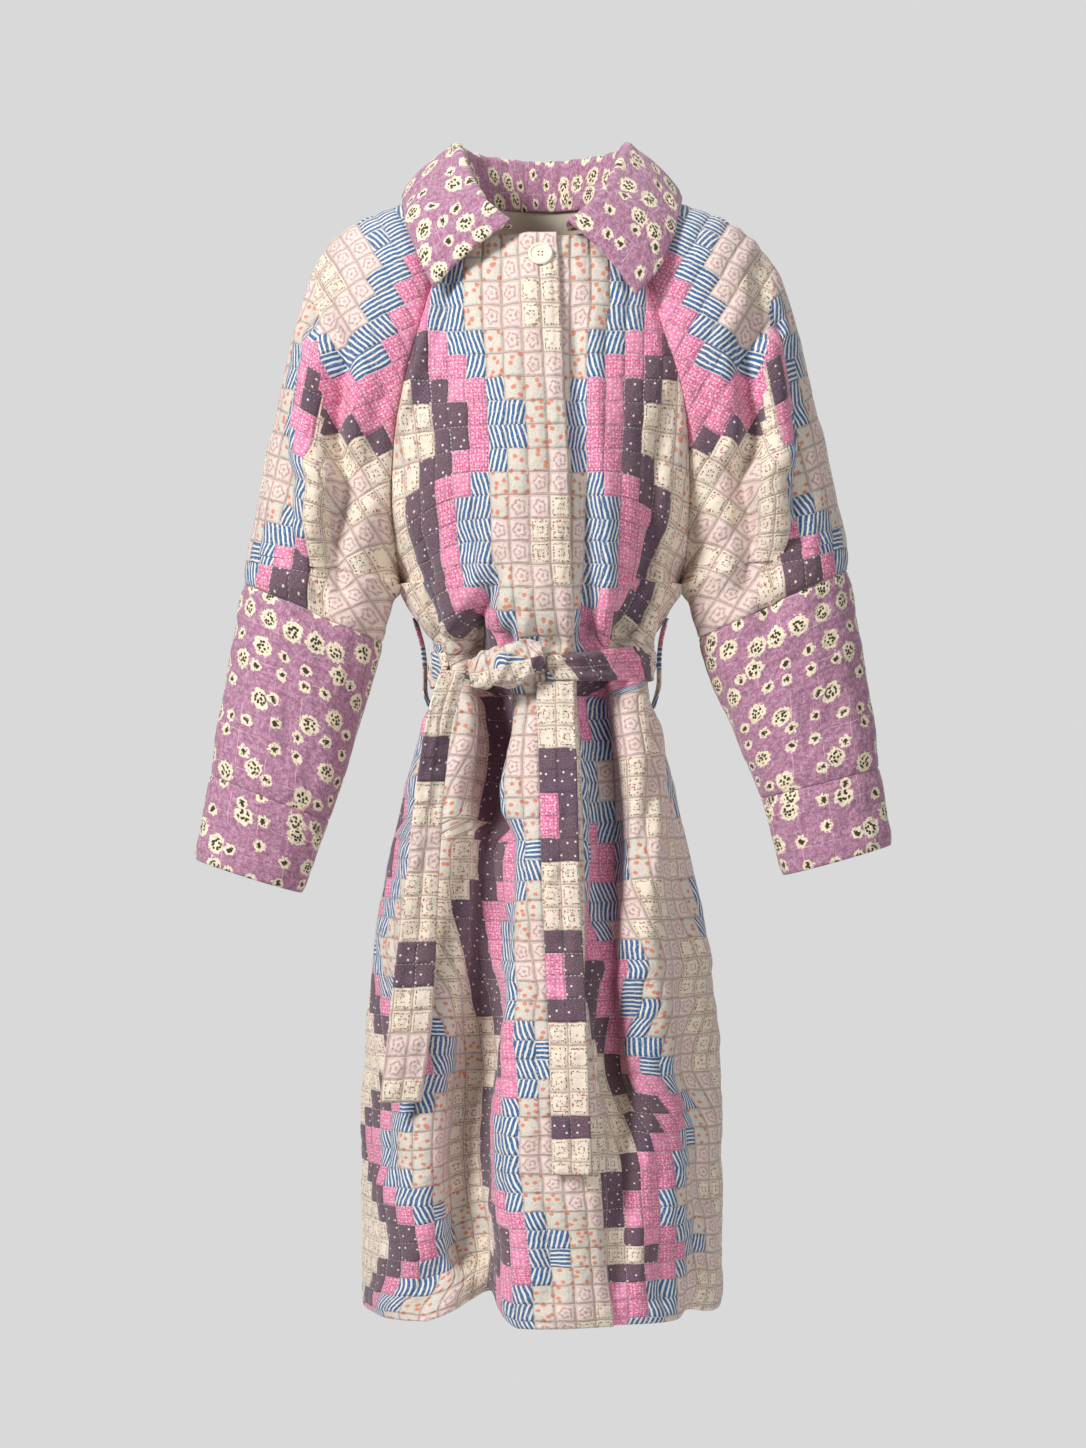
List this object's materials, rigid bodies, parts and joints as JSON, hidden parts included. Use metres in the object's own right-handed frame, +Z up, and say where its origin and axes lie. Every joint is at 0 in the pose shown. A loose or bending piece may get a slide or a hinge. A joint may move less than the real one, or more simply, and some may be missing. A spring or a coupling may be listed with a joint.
{
  "type": "belted patchwork coat",
  "caption": "Quilted patchwork coat with raglan sleeves, a pointed floral collar, a button at the neck and a tied belt, hollow and filled out as worn.",
  "frame": {"origin": "middle of the neck base, where the wearer's neck and shoulders hold the coat", "axes": "+Z up, the front faces -Y, +X to the wearer's left"},
  "size_m": [0.714, 0.3627, 1.2005],
  "materials": {
    "patchwork": "matte quilted cotton patchwork of printed squares",
    "floral": "matte quilted cotton, mauve with cream flowers",
    "belt": "matte cotton patchwork",
    "lining": "plain cream cotton",
    "button": "cream resin"
  },
  "bodies": {
    "root": {"front_right": "patchwork", "front_left": "patchwork", "back": "patchwork", "sleeve_right_upper": "patchwork", "sleeve_left_upper": "patchwork", "sleeve_right_lower": "floral", "sleeve_left_lower": "floral", "cuff_right": "floral", "cuff_left": "floral", "collar": "floral", "neck_lining": "lining", "button": "button", "belt_wrap": "belt", "belt_knot": "belt", "belt_tail_right": "belt", "belt_tail_left": "belt", "belt_loop_right": "belt", "belt_loop_left": "belt"}
  },
  "joints": []
}
